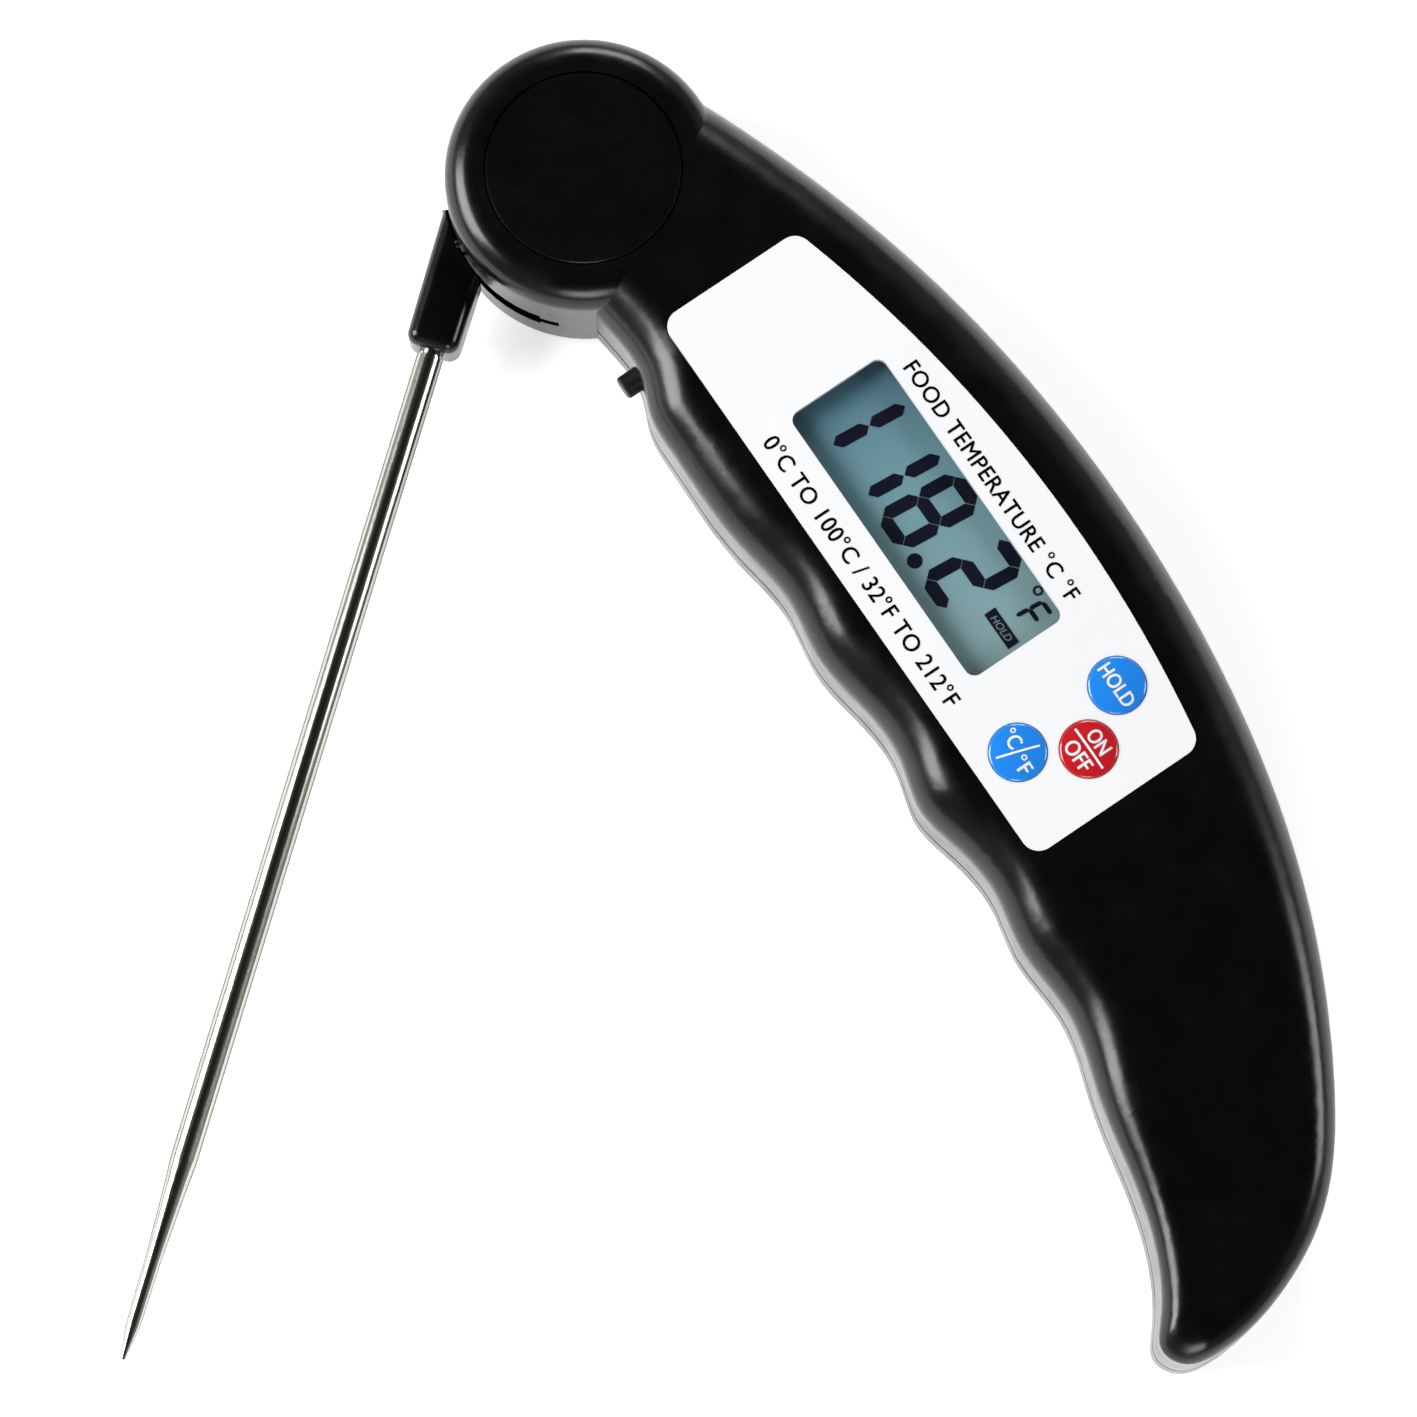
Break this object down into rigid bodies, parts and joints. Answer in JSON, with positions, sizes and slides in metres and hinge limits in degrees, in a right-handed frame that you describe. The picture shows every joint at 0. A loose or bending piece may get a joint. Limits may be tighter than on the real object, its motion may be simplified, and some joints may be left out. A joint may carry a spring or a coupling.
{
  "type": "folding meat thermometer",
  "caption": "Pocket meat thermometer: curved handle with display and keys, round hub, and a pointed steel probe that folds along the handle.",
  "frame": {"origin": "on the probe's pivot axis, at the flat back of the housing", "axes": "+Z from the back to the display, +X from the pivot to the handle's tail, -Y is the side with the finger grooves"},
  "size_m": [0.161, 0.1395, 0.0192],
  "materials": {
    "black_housing": "satin gloss moulded ABS, fine grain",
    "black_arm": "satin gloss moulded nylon",
    "black_pin": "plain moulded",
    "black_door": "satin gloss moulded ABS",
    "white_plate": "satin printed plate",
    "clear_window": "clear polished",
    "display_glass": "grey green liquid crystal",
    "inner_plastic": "moulded",
    "reflector_film": "brushed film",
    "conductive_rubber": "layered silicone",
    "board_laminate": "green solder mask",
    "chip_epoxy": "poured epoxy",
    "component_ceramic": "fired ceramic",
    "screw_steel": "zinc plated",
    "spring_steel": "drawn wire",
    "switch_body": "moulded",
    "switch_plunger": "moulded",
    "cell_steel": "nickel plated",
    "contact_brass": "plated strip",
    "wire_sheath": "insulation",
    "seal_rubber": "moulded",
    "probe_steel": "polished stainless steel",
    "bead_glass": "sealed bead",
    "blue_key": "glossy",
    "red_key": "glossy"
  },
  "bodies": {
    "handle": {"front_shell": "black_housing", "back_shell": "black_housing", "faceplate": "white_plate", "lcd_window": "clear_window", "lcd_panel": "display_glass", "lcd_frame": "inner_plastic", "lcd_reflector": "reflector_film", "zebra_strip": "conductive_rubber", "circuit_board": "board_laminate", "chip_blob": "chip_epoxy", "board_components": "component_ceramic", "board_screws": "screw_steel", "hold_switch": "switch_body", "power_switch": "switch_body", "unit_switch": "switch_body", "auto_off_switch": "switch_body", "coin_cell": "cell_steel", "battery_contact_side": "contact_brass", "battery_contact_top": "contact_brass", "battery_wires": "wire_sheath", "board_leads": "wire_sheath", "friction_washer": "spring_steel", "pivot_screw": "screw_steel", "hub_cap": "black_housing", "housing_screws": "screw_steel", "door_seal": "seal_rubber"},
    "probe": {"probe_arm": "black_arm", "probe_tube": "probe_steel", "thermistor_bead": "bead_glass", "sensor_leads": "wire_sheath"},
    "hold_key": {"hold_button": "blue_key", "hold_plunger": "switch_plunger"},
    "power_key": {"power_button": "red_key", "power_plunger": "switch_plunger"},
    "unit_key": {"unit_button": "blue_key", "unit_plunger": "switch_plunger"},
    "auto_off": {"auto_off_pin": "black_pin", "pin_spring": "spring_steel"},
    "door": {"battery_door": "black_door"}
  },
  "joints": [
    {"name": "probe_fold", "type": "hinge", "parent": "handle", "child": "probe", "pos_m": [0, 0, 0.0078], "axis": [0, 0, 1], "range_deg": [-133.5, 46.5]},
    {"name": "hold_press", "type": "slide", "parent": "handle", "child": "hold_key", "axis": [0, 0, -1], "range_m": [0, 0.0004], "stiffness_N_per_m": 400, "springref_m": -0.0006},
    {"name": "power_press", "type": "slide", "parent": "handle", "child": "power_key", "axis": [0, 0, -1], "range_m": [0, 0.0004], "stiffness_N_per_m": 400, "springref_m": -0.0006},
    {"name": "unit_press", "type": "slide", "parent": "handle", "child": "unit_key", "axis": [0, 0, -1], "range_m": [0, 0.0004], "stiffness_N_per_m": 400, "springref_m": -0.0006},
    {"name": "pin_press", "type": "slide", "parent": "handle", "child": "auto_off", "axis": [-0.134, 0.991, 0], "range_m": [0, 0.001], "stiffness_N_per_m": 300, "springref_m": -0.001, "deforming": ["pin_spring"]},
    {"name": "door_turn", "type": "hinge", "parent": "handle", "child": "door", "pos_m": [0, 0, 0], "axis": [0, 0, -1], "range_deg": [0, 35]}
  ]
}
